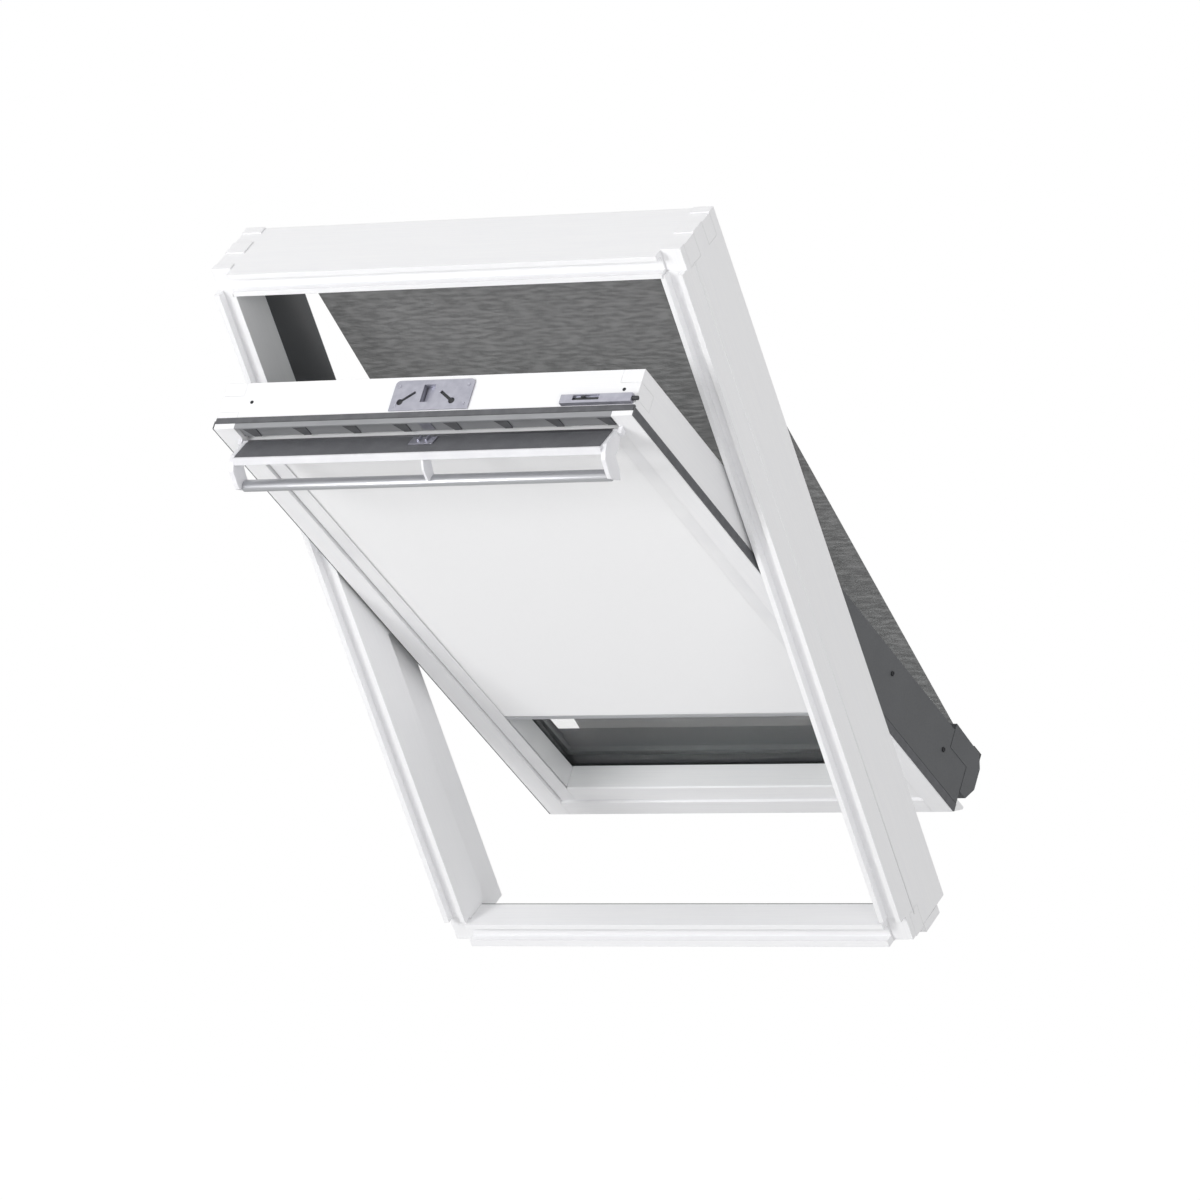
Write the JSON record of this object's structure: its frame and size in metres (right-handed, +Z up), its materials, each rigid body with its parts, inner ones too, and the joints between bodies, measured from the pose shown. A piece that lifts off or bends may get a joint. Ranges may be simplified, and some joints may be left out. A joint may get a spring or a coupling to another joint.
{
  "type": "roof_window_with_blinds",
  "caption": "Centre-pivot roof window in a white wooden frame, sash open, with a ventilation flap and grip bar, a white roller blind inside and a grey mesh awning blind outside.",
  "frame": {"origin": "middle of the frame's room-side face, in the plane of its lips", "axes": "+X to the right seen from the room, the room on the -Y side, +Z up; the frame leans back with a roof of 55 degrees"},
  "size_m": [0.78, 1.0669, 1.0427],
  "materials": {
    "painted_wood": "satin white paint",
    "glass": "clear",
    "rubber": "matt",
    "cladding": "satin grey",
    "grey_plastic": "matt",
    "white_plastic": "satin",
    "dark_plastic": "matt",
    "steel": "passivated",
    "anodised": "anodised",
    "foam": "open cell",
    "blind_cloth": "white blackout cloth",
    "awning_mesh": "grey coated mesh"
  },
  "bodies": {
    "frame": {"frame_head": "painted_wood", "frame_sill": "painted_wood", "frame_jamb_left": "painted_wood", "frame_jamb_right": "painted_wood", "sill_gasket": "rubber", "frame_cladding_left": "cladding", "frame_cladding_right": "cladding", "head_cover": "cladding", "awning_cassette": "cladding", "cassette_cap_left": "dark_plastic", "cassette_cap_right": "dark_plastic", "pivot_track_left": "steel", "pivot_track_right": "steel", "lock_strike": "steel"},
    "sash": {"sash_head": "painted_wood", "sash_bottom": "painted_wood", "sash_side_left": "painted_wood", "sash_side_right": "painted_wood", "inner_pane": "glass", "glass_spacer": "dark_plastic", "outer_pane": "glass", "glazing_bead": "rubber", "sash_cladding_left": "cladding", "sash_cladding_right": "cladding", "sash_cladding_bottom": "cladding", "sash_gasket_left": "rubber", "sash_gasket_right": "rubber", "sash_gasket_head": "rubber", "pivot_shoe_left": "steel", "pivot_shoe_right": "steel", "vent_grille": "grey_plastic", "vent_filter": "foam", "lock_plate": "steel", "bolt_housing": "steel", "blind_casing": "white_plastic", "blind_channel_left": "white_plastic", "blind_channel_right": "white_plastic", "awning_hook_left": "dark_plastic", "awning_hook_right": "dark_plastic", "flap_hinge_rod": "steel", "flap_bracket_left": "grey_plastic", "flap_bracket_right": "grey_plastic"},
    "awning_roller": {"awning_roller": "awning_mesh"},
    "latch": {"latch": "steel"},
    "bolt": {"sliding_bolt": "dark_plastic"},
    "flap": {"vent_flap": "white_plastic", "flap_liner": "grey_plastic", "flap_catch": "steel", "grip_bar": "anodised", "flap_support_middle": "white_plastic", "flap_cap_left": "grey_plastic", "flap_cap_right": "grey_plastic"},
    "blind_roller": {"blind_roller": "anodised"},
    "blind_bar": {"blind_bottom_bar": "anodised", "blind_cloth": "blind_cloth"},
    "awning": {"awning_bar": "dark_plastic", "awning_clip": "white_plastic", "awning_mesh": "awning_mesh"}
  },
  "joints": [
    {"name": "sash_pivot", "type": "hinge", "parent": "frame", "child": "sash", "pos_m": [0, 0.14496, 0.06829], "axis": [1, 0, 0], "range_deg": [-24.94, 13]},
    {"name": "flap_hinge", "type": "hinge", "parent": "sash", "child": "flap", "pos_m": [0, -0.36089, 0.23786], "axis": [1, 0, 0], "range_deg": [-63.9, 0]},
    {"name": "latch_turn", "type": "hinge", "parent": "sash", "child": "latch", "pos_m": [0, -0.35814, 0.28764], "axis": [1, 0, 0], "range_deg": [0, 90]},
    {"name": "bolt_slide", "type": "slide", "parent": "sash", "child": "bolt", "axis": [1, 0, 0], "range_m": [0, 0.012]},
    {"name": "blind_slide", "type": "slide", "parent": "sash", "child": "blind_bar", "axis": [0, -0.8662, 0.4997], "range_m": [-0.195, 0.72], "deforming": ["blind_cloth"]},
    {"name": "blind_roller_spin", "type": "hinge", "parent": "sash", "child": "blind_roller", "pos_m": [0, -0.32817, 0.24554], "axis": [1, 0, 0], "range_deg": [-3400, 950]},
    {"name": "awning_swing", "type": "hinge", "parent": "sash", "child": "awning", "pos_m": [0, 0.64508, -0.19066], "axis": [1, 0, 0], "range_deg": [-6.3, 12], "deforming": ["awning_mesh"]},
    {"name": "awning_roller_spin", "type": "hinge", "parent": "frame", "child": "awning_roller", "pos_m": [0, -0.16613, 0.5212], "axis": [1, 0, 0], "range_deg": [-125, 70]}
  ],
  "couplings": [
    {"joint": "latch_turn", "follows": "flap_hinge", "ratio": -1.4},
    {"joint": "blind_roller_spin", "follows": "blind_slide", "rad_per_m": -79},
    {"joint": "awning_swing", "follows": "sash_pivot", "ratio": -0.475},
    {"joint": "awning_roller_spin", "follows": "sash_pivot", "ratio": 4.6}
  ]
}
